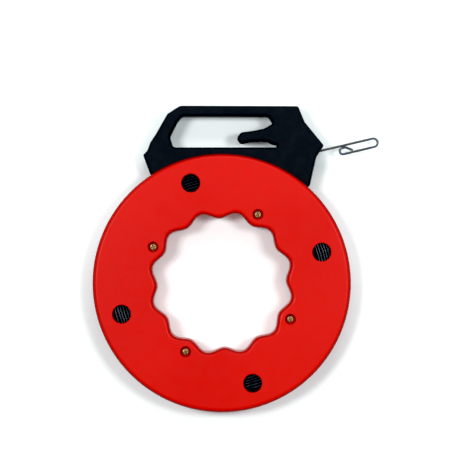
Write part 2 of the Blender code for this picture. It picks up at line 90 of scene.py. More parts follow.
TAPE_T, TAPE_W, TAPE_LINE_R, TAPE_ANGLE = 1.7, 3.2, 94.6, 13.3
GRIP_HALF, SHOE_R = 13.0, 107.5


def polar(radius, degrees, z=0.0):
    turn = math.radians(degrees)
    return np.array([radius * math.cos(turn), radius * math.sin(turn), z])


TAPE_DIR, TAPE_LEFT = polar(1, TAPE_ANGLE), polar(1, TAPE_ANGLE + 90)
TANGENT = polar(TAPE_LINE_R, TAPE_ANGLE + 90)


def along_tape(s, left=0.0, z=0.0):
    return TANGENT + TAPE_DIR * s + TAPE_LEFT * left + np.array([0, 0, z])


def world(points):
    return np.asarray(points, float).reshape(-1, 3) * 0.001 + CENTRE


# ------------------------------------------------------------------ node graphs for the materials
class Graph:
    def __init__(self, name):
        self.material = bpy.data.materials.new(name)
        self.material.use_nodes = True
        self.tree = self.material.node_tree
        self.tree.nodes.clear()
        self.out = self.tree.nodes.new("ShaderNodeOutputMaterial")
        self.bsdf = self.tree.nodes.new("ShaderNodeBsdfPrincipled")
        self.tree.links.new(self.bsdf.outputs[0], self.out.inputs[0])
        self.coord = self.tree.nodes.new("ShaderNodeTexCoord").outputs["Object"]
        self.geometry = self.tree.nodes.new("ShaderNodeNewGeometry")

    def put(self, socket, value):
        if isinstance(value, bpy.types.NodeSocket):
            self.tree.links.new(value, socket)
        elif isinstance(value, (tuple, list)) and len(value) == 3 and socket.type == "RGBA":
            socket.default_value = (*value, 1.0)
        else:
            socket.default_value = value

    def set(self, **values):
        for name, value in values.items():
            self.put(self.bsdf.inputs[name.replace("_", " ")], value)

    def mapped(self, scale=(1, 1, 1), rotation=(0, 0, 0), vector=None):
        node = self.tree.nodes.new("ShaderNodeMapping")
        self.put(node.inputs["Vector"], vector or self.coord)
        node.inputs["Scale"].default_value = scale
        node.inputs["Rotation"].default_value = rotation
        return node.outputs[0]

    def noise(self, scale, detail=2.0, roughness=0.5, distortion=0.0, vector=None):
        node = self.tree.nodes.new("ShaderNodeTexNoise")
        self.put(node.inputs["Vector"], vector or self.coord)
        for name, value in (("Scale", scale), ("Detail", detail), ("Roughness", roughness), ("Distortion", distortion)):
            node.inputs[name].default_value = value
        return node.outputs[0]

    def cells(self, scale, feature="F1", vector=None):
        node = self.tree.nodes.new("ShaderNodeTexVoronoi")
        node.feature = feature
        self.put(node.inputs["Vector"], vector or self.coord)
        node.inputs["Scale"].default_value = scale
        return node.outputs["Distance"]

    def span(self, value, low, high, to_low=0.0, to_high=1.0, smooth=True):
        node = self.tree.nodes.new("ShaderNodeMapRange")
        node.interpolation_type = "SMOOTHSTEP" if smooth else "LINEAR"
        for index, item in enumerate((value, low, high, to_low, to_high)):
            self.put(node.inputs[index], item)
        return node.outputs[0]

    def maths(self, operation, first, second=0.0):
        node = self.tree.nodes.new("ShaderNodeMath")
        node.operation = operation
        self.put(node.inputs[0], first)
        self.put(node.inputs[1], second)
        return node.outputs[0]

    def mix(self, factor, first, second, mode="MIX"):
        node = self.tree.nodes.new("ShaderNodeMix")
        node.data_type = "RGBA"
        node.blend_type = mode
        self.put(node.inputs[0], factor)
        self.put(node.inputs[6], first)
        self.put(node.inputs[7], second)
        return node.outputs[2]

    def ramp(self, factor, stops):
        node = self.tree.nodes.new("ShaderNodeValToRGB")
        self.put(node.inputs[0], factor)
        elements = node.color_ramp.elements
        while len(elements) < len(stops):
            elements.new(0.5)
        for element, (at, colour) in zip(elements, stops):
            element.position = at
            element.color = (*colour, 1.0)
        return node.outputs[0]

    def bump(self, height, distance, strength=1.0, normal=None):
        node = self.tree.nodes.new("ShaderNodeBump")
        node.inputs["Strength"].default_value = strength
        node.inputs["Distance"].default_value = distance
        self.put(node.inputs["Height"], height)
        if normal is not None:
            self.put(node.inputs["Normal"], normal)
        return node.outputs[0]

    def edges(self, low=0.52, high=0.60):
        """How far a point sits on an outward edge."""
        return self.span(self.geometry.outputs["Pointiness"], low, high)

    # Mask of concave places; the materials use it to paint shade into hollows.
    def painted_hollow_shade(self, low=0.48, high=0.40):
        return self.span(self.geometry.outputs["Pointiness"], low, high)

    def painted_recess_shade(self, distance):
        """How far a point is shut in by the piece's own shape, such as deep in a recess; used to paint shade there."""
        node = self.tree.nodes.new("ShaderNodeAmbientOcclusion")
        node.only_local = True
        node.samples = 12
        node.inputs["Distance"].default_value = distance
        return self.span(node.outputs["AO"], 0.92, 0.40)

    def rounded(self):
        """How far a point sits on a rounded edge between a face and an upright wall; used to paint shade on these edges
        and to roughen them.
        """
        node = self.tree.nodes.new("ShaderNodeSeparateXYZ")
        self.put(node.inputs[0], self.geometry.outputs["True Normal"])
        level = self.maths("ABSOLUTE", node.outputs["Z"])
        return self.maths("MULTIPLY", self.span(level, 0.97, 0.62), self.span(level, 0.02, 0.16))


def red_abs():
    g = Graph("case_red_abs")
    cloud, mottle, speck = g.noise(9, 3), g.noise(85, 4, 0.6), g.noise(1700, 2)
    colour = g.mix(g.span(cloud, 0.35, 0.65), (0.505, 0.0054, 0.0030), (0.535, 0.0070, 0.0040))
    colour = g.mix(g.maths("MULTIPLY", g.span(mottle, 0.40, 0.68), 0.14), colour, (0.455, 0.0046, 0.0027))
    colour = g.mix(g.maths("MULTIPLY", g.span(speck, 0.62, 0.76), 0.12), colour, (0.66, 0.018, 0.011))
    worn = g.maths("MULTIPLY", g.edges(), g.span(g.noise(60, 5, 0.7), 0.42, 0.68))
    colour = g.mix(g.maths("MULTIPLY", worn, 0.12), colour, (0.66, 0.030, 0.020))
    # Painted shade: darker red in the case's hollows, inner corners and recess floors.
    colour = g.mix(g.maths("MULTIPLY", g.painted_hollow_shade(), 0.55), colour, (0.36, 0.004, 0.003))
    # Painted shade: dark red on the rounded edges between the faces and the upright walls.
    colour = g.mix(g.maths("MULTIPLY", g.rounded(), 0.72), colour, (0.165, 0.0030, 0.0028))
    scuffs = g.maths("MULTIPLY", g.span(g.noise(420, 3, 0.6, 1.5), 0.62, 0.70), g.span(g.noise(14, 2), 0.50, 0.66))
    roughness = g.maths("ADD", g.span(mottle, 0.3, 0.7, 0.300, 0.360), g.maths("MULTIPLY", scuffs, 0.16))
    roughness = g.maths("ADD", roughness, g.maths("MULTIPLY", worn, 0.10))
    roughness = g.maths("ADD", roughness, g.maths("MULTIPLY", g.rounded(), 0.22))
    peel = g.bump(g.noise(330, 3, 0.45), 0.00005)
    grain = g.bump(g.noise(2600, 2), 0.000014, 1.0, peel)
    g.set(Base_Color=colour, Roughness=roughness, Normal=g.bump(scuffs, -0.000010, 1.0, grain), IOR=1.53)
    g.set(Specular_IOR_Level=0.095)
    return g.material


def grip_black():
    g = Graph("grip_black_plastic")
    cloud, mottle = g.noise(16, 3), g.noise(150, 4, 0.6)
    colour = g.mix(g.span(cloud, 0.35, 0.65), (0.0021, 0.0034, 0.0058), (0.0028, 0.0044, 0.0072))
    colour = g.mix(g.maths("MULTIPLY", g.span(mottle, 0.45, 0.72), 0.30), colour, (0.0050, 0.0066, 0.0098))
    worn = g.maths("MULTIPLY", g.edges(0.53, 0.62), g.span(g.noise(85, 5, 0.7), 0.42, 0.66))
    colour = g.mix(g.maths("MULTIPLY", worn, 0.45), colour, (0.024, 0.026, 0.032))
    dust = g.maths("MULTIPLY", g.span(g.noise(900, 2), 0.69, 0.76), g.span(g.noise(30, 2), 0.45, 0.65))
    colour = g.mix(g.maths("MULTIPLY", dust, 0.10), colour, (0.10, 0.10, 0.105))
    spark = g.cells(1250)
    roughness = g.maths("ADD", g.span(mottle, 0.3, 0.7, 0.60, 0.72), g.maths("MULTIPLY", worn, -0.10))
    coarse = g.bump(g.noise(520, 3, 0.55), 0.00006)
    grain = g.bump(spark, 0.00007, 0.9, coarse)
    g.set(Base_Color=colour, Roughness=roughness, Normal=grain, IOR=1.50, Specular_IOR_Level=0.092)
    return g.material


def zinc(name, straw, violet, base_roughness):
    """Passivated zinc: a thin film whose hue drifts over the plated steel, with painted shade in the hollows and deep
    in the cross recess.
    """
    g = Graph(name)
    film = g.noise(260, 3, 0.55, 0.8)
    colour = g.mix(g.span(film, 0.38, 0.64), straw, violet)
    colour = g.mix(g.maths("MULTIPLY", g.edges(0.53, 0.62), 0.45), colour, (0.62, 0.60, 0.56))
    # Painted shade: the zinc is darkened in the hollows and deep in the cross recess.
    colour = g.mix(g.maths("MULTIPLY", g.painted_hollow_shade(0.47, 0.38), 0.75), colour, tuple(c * 0.12 for c in straw))
    colour = g.mix(g.maths("MULTIPLY", g.painted_recess_shade(0.0022), 0.70), colour, tuple(c * 0.10 for c in straw))
    fine = g.noise(2400, 3, 0.6)
    roughness = g.span(fine, 0.3, 0.7, base_roughness - 0.06, base_roughness + 0.10)
    g.set(Base_Color=colour, Roughness=roughness, Metallic=1.0, Normal=g.bump(fine, 0.000015))
    return g.material


def tape_steel(name, hook=False):
    """Oil-tempered spring steel, rolled along its length; the hook's bends carry heat tints."""
    g = Graph(name)
    cloud = g.noise(55, 4, 0.6)
    colour = g.mix(g.span(cloud, 0.36, 0.66), (0.013, 0.016, 0.020), (0.031, 0.035, 0.042))
    rust = g.maths("MULTIPLY", g.span(g.noise(240, 5, 0.7), 0.62, 0.76), 0.25)
    colour = g.mix(rust, colour, (0.16, 0.12, 0.09))
    if hook:
        colour = g.mix(g.span(cloud, 0.36, 0.66), (0.042, 0.048, 0.046), (0.078, 0.087, 0.083))
        for s, left, reach in ((161.0, -3.8, 8.6), (132.7, -4.7, 7.5)):
            at = world(along_tape(s, left))[0]
            node = g.tree.nodes.new("ShaderNodeVectorMath")
            node.operation = "DISTANCE"
            g.put(node.inputs[0], g.coord)
            node.inputs[1].default_value = tuple(at)
            away = g.maths("ADD", node.outputs["Value"], g.maths("MULTIPLY", g.noise(320, 2), 0.0022))
            near = g.span(away, reach * 0.001, (reach - 3.4) * 0.001)
            tint = g.ramp(near, [(0.0, (0.095, 0.080, 0.050)), (0.35, (0.085, 0.035, 0.075)), (0.65, (0.025, 0.035, 0.130)), (1.0, (0.060, 0.085, 0.110))])
            colour = g.mix(g.maths("MULTIPLY", g.span(near, 0.02, 0.35), 0.55), colour, tint)
    rolled = g.noise(420, 4, 0.6, 0.0, g.mapped((0.05, 1, 1), (0, 0, -math.radians(TAPE_ANGLE))))
    roughness = g.span(rolled, 0.3, 0.7, 0.24, 0.42)
    colour = g.mix(g.maths("MULTIPLY", g.edges(0.54, 0.64), 0.30), colour, (0.50, 0.51, 0.50))
    g.set(Base_Color=colour, Roughness=roughness, Metallic=1.0, Normal=g.bump(rolled, 0.00002))
    return g.material


def acetal():
    g = Graph("runner_acetal")
    colour = g.mix(g.span(g.noise(45, 3), 0.35, 0.65), (0.70, 0.69, 0.64), (0.78, 0.77, 0.73))
    rubbed = g.maths("MULTIPLY", g.edges(), g.span(g.noise(140, 4), 0.4, 0.65))
    colour = g.mix(g.maths("MULTIPLY", rubbed, 0.4), colour, (0.52, 0.47, 0.42))
    g.set(Base_Color=colour, Roughness=g.span(g.noise(300, 3), 0.3, 0.7, 0.32, 0.46), Subsurface_Weight=0.08, IOR=1.48)
    g.set(Subsurface_Radius=(0.002, 0.0016, 0.0012), Normal=g.bump(g.noise(1400, 2), 0.00002))
    return g.material


def nylon():
    g = Graph("guide_nylon")
    colour = g.mix(g.span(g.noise(70, 3), 0.35, 0.65), (0.010, 0.010, 0.011), (0.020, 0.020, 0.022))
    rubbed = g.maths("MULTIPLY", g.edges(), g.span(g.noise(200, 4), 0.4, 0.65))
    colour = g.mix(g.maths("MULTIPLY", rubbed, 0.5), colour, (0.050, 0.050, 0.054))
    g.set(Base_Color=colour, Roughness=g.span(g.noise(400, 3), 0.3, 0.7, 0.36, 0.52), Normal=g.bump(g.noise(1600, 2), 0.00003))
    return g.material


def pale_floor():
    g = Graph("floor_pale")
    colour = g.mix(g.span(g.noise(3, 3), 0.3, 0.7), (0.902, 0.972, 0.972), (0.912, 0.982, 0.982))
    g.set(Base_Color=colour, Roughness=0.75, Normal=g.bump(g.noise(600, 2), 0.00002))
    g.set(Specular_IOR_Level=0.15)
    return g.material


RED, BLACK = red_abs(), grip_black()
YELLOW_ZINC = zinc("yellow_zinc", (0.335, 0.172, 0.066), (0.290, 0.165, 0.080), 0.42)
BLACK_ZINC = zinc("black_zinc", (0.045, 0.045, 0.048), (0.070, 0.062, 0.080), 0.38)
STEEL, HOOK_STEEL = tape_steel("tape_steel_wound"), tape_steel("tape_steel_hook", True)
ACETAL, NYLON = acetal(), nylon()


# ------------------------------------------------------------------ mesh helpers
class Shape:
    """Points and faces gathered for one mesh, in millimetres."""

    def __init__(self):
        self.points, self.faces = [], []

    def add(self, points, faces):
        start = len(self.points)
        self.points += [tuple(p) for p in points]
        self.faces += [tuple(i + start for i in face) for face in faces]
        return self

    def skin(self, sections, closed):
        """Skins loops of equal length; an open skin gets end caps."""
        count, rows = len(sections[0]), len(sections)
        points = [p for loop in sections for p in loop]
        faces = []
        for i in range(rows if closed else rows - 1):
            a, b = i * count, (i + 1) % rows * count
            for j in range(count):
                k = (j + 1) % count
                faces.append((a + j, a + k, b + k, b + j))
        if not closed:
            faces.append(tuple(range(count)))
            faces.append(tuple((rows - 1) * count + j for j in range(count)))
        return self.add(points, faces)

    def turned(self, profile, centre=(0, 0), steps=48, start=0.0, end=360.0, up=1):
        """A closed profile of (radius, z) swept about an upright axis; whole turns close on themselves."""
        whole = end - start >= 360
        sections = []
        for i in range(steps if whole else steps + 1):
            turn = math.radians(start + (end - start) * i / steps)
            sections.append([(centre[0] + r * math.cos(turn), centre[1] + r * math.sin(turn), up * z) for r, z in profile])
        return self.skin(sections, whole)

    def stacked(self, profile, centre, steps=48, up=1):
        """A solid of revolution from its outline bottom to top, (radius, z), capped at both ends."""
        sections = [
            [(centre[0] + r * math.cos(2 * math.pi * (i + 0.5) / steps), centre[1] + r * math.sin(2 * math.pi * (i + 0.5) / steps), up * z) for i in range(steps)]
            for r, z in profile
        ]
        return self.skin(sections, False)

    def prism(self, outline, low, high):
        return self.skin([[(p[0], p[1], z) for p in outline] for z in (low, high)], False)

    def object(self, name):
        mesh = bpy.data.meshes.new(name)
        mesh.from_pydata([tuple(p) for p in world(self.points)], [], self.faces)
        mesh.update()
        bm = bmesh.new()
        bm.from_mesh(mesh)
        bmesh.ops.recalc_face_normals(bm, faces=bm.faces)
        bm.to_mesh(mesh)
        bm.free()
        made = bpy.data.objects.new(name, mesh)
        bpy.context.scene.collection.objects.link(made)
        return made


def combine(target, shape, operation):
    tool = shape.object("tool")
    modifier = target.modifiers.new("tool", "BOOLEAN")
    modifier.operation, modifier.solver, modifier.object = operation, "EXACT", tool
    bpy.context.view_layer.update()
    graph = bpy.context.evaluated_depsgraph_get()
    result = bpy.data.meshes.new_from_object(target.evaluated_get(graph))
    target.modifiers.clear()
    old, target.data = target.data, result
    bpy.data.meshes.remove(old)
    tool_mesh = tool.data
    bpy.data.objects.remove(tool, do_unlink=True)
    bpy.data.meshes.remove(tool_mesh)


def finish_piece(piece, material, body, nodes, sharp=32, weighted=True):
    mesh = piece.data
    mesh.materials.clear()
    mesh.materials.append(material)
    mesh.shade_smooth()
    mesh.set_sharp_from_angle(angle=math.radians(sharp))
    mesh.name = piece.name
    if weighted:
        modifier = piece.modifiers.new("weighted", "WEIGHTED_NORMAL")
        modifier.keep_sharp = True
        modifier.weight = 60
    if body:
        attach(piece, body)
    if nodes:
        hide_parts(*nodes)
    return piece


def rounded_loop(corners, steps=6):
    """[(a, b, radius, ...)] as points, corners replaced by arcs; extra fields are carried along."""
    points = []
    count = len(corners)
    for i, corner in enumerate(corners):
        here = np.array(corner[:2], float)
        radius, extra = corner[2], tuple(corner[3:])
        back = np.array(corners[i - 1][:2], float) - here
        ahead = np.array(corners[(i + 1) % count][:2], float) - here
        back, ahead = back / np.linalg.norm(back), ahead / np.linalg.norm(ahead)
        if not radius:
            points.append((*here, *extra))
            continue
        half = math.acos(max(-1.0, min(1.0, float(back @ ahead)))) / 2
        bisector = (back + ahead) / np.linalg.norm(back + ahead)
        centre = here + bisector * (radius / math.sin(half))
        first = here + back * (radius / math.tan(half)) - centre
        last = here + ahead * (radius / math.tan(half)) - centre
        start = math.atan2(first[1], first[0])
        turn = (math.atan2(last[1], last[0]) - start + math.pi) % (2 * math.pi) - math.pi
        for k in range(steps + 1):
            angle = start + turn * k / steps
            points.append((centre[0] + radius * math.cos(angle), centre[1] + radius * math.sin(angle), *extra))
    return points


def inset_corners(corners, inset):
    """Counter-clockwise corners [(x, y, radius)] moved inwards by a mitre; radii follow the offset."""
    moved = []
    count = len(corners)
    for i, (x, y, radius) in enumerate(corners):
        here = np.array([x, y])
        before = here - np.array(corners[i - 1][:2])
        after = np.array(corners[(i + 1) % count][:2]) - here
        before, after = before / np.linalg.norm(before), after / np.linalg.norm(after)
        left_a, left_b = np.array([-before[1], before[0]]), np.array([-after[1], after[0]])
        mitre = (left_a + left_b) / (1 + left_a @ left_b)
        convex = before[0] * after[1] - before[1] * after[0] > 0
        if radius:
            radius = max(radius - inset, 0.05) if convex else radius + inset
        moved.append((*(here + mitre * inset), radius))
    return moved


def fill(bm, loops):
    edges = []
    for loop in loops:
        for a, b in zip(loop, loop[1:] + loop[:1]):
            edges.append(bm.edges.get((a, b)) or bm.edges.new((a, b)))
    bmesh.ops.triangle_fill(bm, use_beauty=True, use_dissolve=False, edges=edges)


# ------------------------------------------------------------------ case halves
def wave(degrees):
    return HUB_WAVE * math.cos(math.radians(HUB_LOBES * (degrees - LOBE_PHASE)))


CASE_SECTION = rounded_loop([
    (HUB_R, SPLIT, 0.30, 1), (HUB_R + HUB_DRAFT, CASE_HALF, 4.0, 1), (CASE_R, CASE_HALF, 4.1, 0), (CASE_R, FLANGE_IN, 0.35, 0),
    (CHANNEL_R, FLANGE_IN, 0.5, 0), (CHANNEL_R, SLOT_HALF, 0.6, 0), (DRUM_R, SLOT_HALF, 0.6, 0),
    (DRUM_R, CASE_HALF - PLATE_T, 0.5, 0), (HUB_R + HUB_DRAFT + HUB_WALL, CASE_HALF - PLATE_T, 0.8, 1), (HUB_R + HUB_WALL, SPLIT, 0.30, 1),
], 7)


def flared_hole(radius, low, face, flare):
    """Cutter outline for a hole whose rim is rounded over by flare at a face."""
    outline = [(radius, low)]
    for k in range(7):
        turn = math.radians(180 - 82 * k / 6)
        outline.append((radius + flare + flare * math.cos(turn), face - flare + flare * math.sin(turn)))
    return outline + [(radius + flare * 1.6, face + 2.0)]


def case_half(name, node, side):
    steps = 300
    shape = Shape()
    sections = []
    for i in range(steps):
        degrees = LOBE_PHASE + 360 * i / steps
        turn, ripple = math.radians(degrees), wave(degrees)
        sections.append([
            ((r + k * ripple) * math.cos(turn), (r + k * ripple) * math.sin(turn), side * z) for r, z, k in CASE_SECTION
        ])
    half = shape.skin(sections, True).object(name)
    posts = Shape()
    for k in range(4):
        centre = polar(BOSS_AT, BOSS_PHASE + 90 * k)
        posts.stacked([(6.3 if side > 0 else 4.4, 0.15), (6.5 if side > 0 else 4.6, 0.35), (6.5 if side > 0 else 4.6, 16.0)], centre, 40, side)
    if side < 0:
        posts.stacked([(4.2, 6.4), (4.2, 16.0)], polar(73.5, 107.2), 32, side)
    combine(half, posts, "UNION")
    webs = Shape()
    for k in range(4):
        out, across = polar(1, BOSS_PHASE + 90 * k), polar(1, BOSS_PHASE + 90 * k + 90)
        web = [out * r + across * w for r, w in ((59.0, -1.5), (66.0, -1.5), (66.0, 1.5), (59.0, 1.5))]
        low, high = sorted((side * 1.5, side * 15.8))
        webs.prism(web, low, high)
    combine(half, webs, "UNION")
    holes = Shape()
    for k in range(4):
        holes.stacked(flared_hole(WINDOW_R, CASE_HALF - PLATE_T - 2, CASE_HALF, 0.55), polar(WINDOW_AT, LOBE_PHASE + 90 * k), 72, side)
        centre = polar(BOSS_AT, BOSS_PHASE + 90 * k)
        if side > 0:
            holes.stacked(flared_hole(CBORE_R, CBORE_FLOOR, CASE_HALF, 0.45), centre, 56, side)
        else:
            holes.stacked([(1.8, -2.0), (1.8, 11.0)], centre, 24, side)
    if side < 0:
        holes.stacked([(1.8, 4.0), (1.8, 13.5)], polar(73.5, 107.2), 24, side)
    combine(half, holes, "DIFFERENCE")
    marks = Shape()
    if side > 0:
        for k in range(4):
            marks.stacked([(1.8, -2.0), (1.8, CBORE_FLOOR + 2.0)], polar(BOSS_AT, BOSS_PHASE + 90 * k), 24, side)
    else:
        # Round witness marks that the mould's ejector pins leave on the rear face.
        for k in range(12):
            marks.stacked([(3.0, CASE_HALF - 0.12), (3.0, CASE_HALF + 1.0)], polar(103.5 if k % 2 else 79.5, LOBE_PHASE + 30 * k + 15), 32, side)
    combine(half, marks, "DIFFERENCE")
    return finish_piece(half, RED, "reel", [node])


case_half("case_front_shell", "case_front", 1)
case_half("case_rear_shell", "case_rear", -1)


# ------------------------------------------------------------------ screws
def screw(name, node, centre, seat, up, shank_r, head_r, head_h, length, pitch, material, body):
    """A cross-head screw with a domed head, a tapered recess and a cut thread."""
    angular, per_turn = 30, 8
    rows = int(length / pitch * per_turn)
    root_r = shank_r * 0.80
    sections = []
    for i in range(rows + 1):
        z = -length + length * i / rows
        taper = min(1.0, 0.30 + (z + length) / 2.4)
        fade = min(1.0, max(0.0, (-z - 0.5) / 0.8))
        loop = []
        for j in range(angular):
            turn = 2 * math.pi * j / angular
            phase = (z / pitch - turn / (2 * math.pi)) % 1.0
            tooth = max(0.0, 1.0 - abs(phase - 0.5) / 0.34)
            r = (root_r + (shank_r - root_r) * tooth * fade) * taper
            loop.append((centre[0] + r * math.cos(turn), centre[1] + r * math.sin(turn), seat + up * z))
        sections.append(loop)
    dome = [(head_r * 0.985, 0.06), (head_r, 0.22), (head_r, head_h * 0.46)]
    for k in range(1, 7):
        turn = math.radians(90 * k / 6)
        dome.append((head_r * (0.62 + 0.38 * math.cos(turn)), head_h * (0.46 + 0.46 * math.sin(turn))))
    dome += [(head_r * 0.42, head_h * 0.965), (head_r * 0.20, head_h * 0.99)]
    for r, z in dome:
        sections.append([
            (centre[0] + r * math.cos(2 * math.pi * j / angular), centre[1] + r * math.sin(2 * math.pi * j / angular), seat + up * z)
            for j in range(angular)
        ])
    made = Shape().skin(sections, False).object(name)
    recess = Shape()
    levels = []
    for depth, arm, width in ((head_h * 1.30, 0.74, 0.185), (head_h * 0.98, 0.68, 0.165), (head_h * 0.30, 0.36, 0.120)):
        loop = []
        for k in range(4):
            out, side = polar(1, 90 * k + 20), polar(1, 90 * k + 110)
            reach, half, inner = head_r * arm, head_r * width, head_r * width * 1.25
            for x, y in ((reach, -half * 0.72), (reach * 1.02, 0.0), (reach, half * 0.72), (inner, inner)):
                p = out * x + side * y
                loop.append((centre[0] + p[0], centre[1] + p[1], seat + up * depth))
        levels.append(loop)
    recess.skin(levels, False)
    combine(made, recess, "DIFFERENCE")
    return finish_piece(made, material, body, [node], 38)


for k in range(4):
    at = polar(BOSS_AT, BOSS_PHASE + 90 * k)
    screw(f"case_screw_{k + 1}_detail", f"case_screw_{k + 1}", at, CBORE_FLOOR + 0.05, 1, 1.5, 3.3, 2.2, 20.4, 1.05, YELLOW_ZINC, "reel")
screw("tape_anchor_screw_detail", "tape_anchor_screw", polar(73.5, 107.2), -4.6, 1, 1.5, 2.9, 1.9, 7.4, 1.0, YELLOW_ZINC, "reel")


# ------------------------------------------------------------------ wound tape
def tape_section(across, upright, half_t=TAPE_T / 2, half_w=TAPE_W / 2, corner=0.55):
    """Outline of the rolled strip: thickness along one vector, width along the other, edges rolled round."""
    points = []
    for x, y, turns in ((1, -1, (-90, -60, -30, 0)), (1, 1, (0, 30, 60, 90)), (-1, 1, (90, 120, 150, 180)), (-1, -1, (180, 210, 240, 270))):
        for turn in turns:
            a = x * (half_t - corner) + corner * math.cos(math.radians(turn))
            b = y * (half_w - corner) + corner * math.sin(math.radians(turn))
            points.append(across * a + upright * b)
    return points


def winding(shape, z, first_r, last_r, turns, phase, seed):
    """One layer of turns lying side by side, a little uneven and off centre as tape wound by hand is."""
    steps = int(90 * turns)
    sections = []
    for i in range(steps + 1):
        turn = 2 * math.pi * turns * i / steps
        at = turn + phase
        share = i / steps
        r = first_r + (last_r - first_r) * share + 1.0 * math.cos(at - 0.2)
        r += 0.22 * math.sin(3 * at + 2.1 * seed) + 0.16 * math.sin(2.37 * turn + seed * 5.0)
        lift = 0.16 * math.sin(2 * at + seed * 3.0) + 0.14 * math.sin(1.61 * turn + seed)
        outward = np.array([math.cos(at), math.sin(at), 0.0])
        centre = outward * r + np.array([0.0, 0.0, z + lift])
        sections.append([centre + p for p in tape_section(outward, np.array([0.0, 0.0, 1.0]))])
    shape.skin(sections, False)


coil = Shape()
for z, seed in ((9.55, 0.3), (5.85, 1.7), (-5.85, 2.9), (-9.55, 4.4)):
    winding(coil, z, 85.9, 99.4, 5.5, seed * 2.0, seed)
winding(coil, 0.0, 85.9, 89.8, 1.7, 0.9, 0.8)
finish_piece(coil.object("tape_coil_windings"), STEEL, "reel", ["tape_coil"], 50, False)


# ------------------------------------------------------------------ tape's free end and hook
def arc(s, left, radius, start, end, steps):
    centre = along_tape(s, left)
    return [centre + polar(radius, start + (end - start) * i / steps) for i in range(steps + 1)]


TIP_S, NEAR_S, HOOK_GAP, NEAR_R, HOOK_T = 161.0, 132.7, 7.6, 2.8, 2.02
path = [polar(TAPE_LINE_R - 0.4 * (1 - i / 24), TAPE_ANGLE + 90 + 62 * (1 - i / 24)) for i in range(24)]
path += [along_tape(s) for s in np.linspace(0, TIP_S - 1.0, 60)]
path += arc(TIP_S, -HOOK_GAP / 2, HOOK_GAP / 2, TAPE_ANGLE + 90, TAPE_ANGLE - 90, 22)
path += [along_tape(s, -HOOK_GAP) for s in np.linspace(TIP_S - 2, NEAR_S + 1.2, 14)]
path += arc(NEAR_S, -HOOK_GAP + NEAR_R, NEAR_R, TAPE_ANGLE - 90, TAPE_ANGLE - 270, 26)
path += arc(NEAR_S + 1.8, 2 * NEAR_R - HOOK_GAP - 4.0, 4.0, TAPE_ANGLE + 90, TAPE_ANGLE + 50, 8)
bend_end = path[-1]
tip = along_tape(NEAR_S + 8.9, -HOOK_GAP + 1.50)
path += [bend_end + (tip - bend_end) * t for t in np.linspace(0.15, 1.0, 8)]
sections = []
for i, here in enumerate(path):
    ahead = path[min(i + 1, len(path) - 1)] - path[max(i - 1, 0)]
    ahead = ahead / np.linalg.norm(ahead)
    across = np.array([-ahead[1], ahead[0], 0.0])
    left_of_end = len(path) - 1 - i
    slim = 1.0 if left_of_end > 2 else (0.55, 0.84, 0.96)[left_of_end]
    sections.append([here + p for p in tape_section(across, np.array([0.0, 0.0, 1.0]), HOOK_T / 2 * slim, TAPE_W / 2 * slim, 0.62 * slim)])
leader = Shape().skin(sections, False).object("tape_leader_and_hook")
finish_piece(leader, HOOK_STEEL, None, ["tape_leader"], 50, False)
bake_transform(leader)


# ------------------------------------------------------------------ hand grip
FOOT_RIGHT, FOOT_LEFT = 48.2, 122.8
GRIP_OUTLINE = [
    (78.7, 87.1, 0.0), (84.4, 112.5, 9.0), (91.2, 122.6, 1.7), (73.9, 143.8, 7.0), (68.2, 157.8, 2.4),
    (-37.2, 158.2, 6.0), (-48.6, 150.8, 6.0), (-58.5, 133.3, 12.0), (-63.8, 125.3, 6.0), (-66.4, 118.2, 4.0),
    (-70.2, 114.1, 1.8), (-63.7, 96.5, 0.0),
]
GRIP_OPENING = [
    (-35.6, 148.5, 4.0), (41.3, 148.4, 3.0), (45.6, 142.2, 1.6), (37.9, 137.8, 8.0), (29.0, 135.9, 9.0),
    (17.3, 134.3, 3.3), (12.9, 129.1, 3.5), (17.0, 124.0, 2.7), (26.0, 126.0, 9.0), (35.0, 126.7, 8.0),
    (41.4, 125.7, 5.0), (45.6, 123.5, 3.0), (49.0, 123.6, 1.2), (49.0, 121.0, 1.2), (-43.4, 121.0, 3.0),
    (-46.3, 130.2, 3.4), (-39.8, 143.2, 5.0),
]
GRIP_SCREWS = [(-51.3, 133.6), (-59.6, 107.6), (59.0, 146.6), (76.0, 128.4), (71.0, 102.0)]
GRIP_SEAT = -10.4
RUNNERS = {"runner_left": (88.0, 119.0), "runner_right": (51.5, 65.0)}


def shoe_corners(steps=44):
    points = [polar(SHOE_R, FOOT_LEFT + (FOOT_RIGHT - FOOT_LEFT) * i / steps) for i in range(steps + 1)]
    return [(p[0], p[1], 0.0) for p in points]


def bar(shape, s0, s1, half_left, half_z):
    outline = [along_tape(s0, -half_left), along_tape(s1, -half_left), along_tape(s1, half_left), along_tape(s0, half_left)]
    return shape.prism(outline, -half_z, half_z)


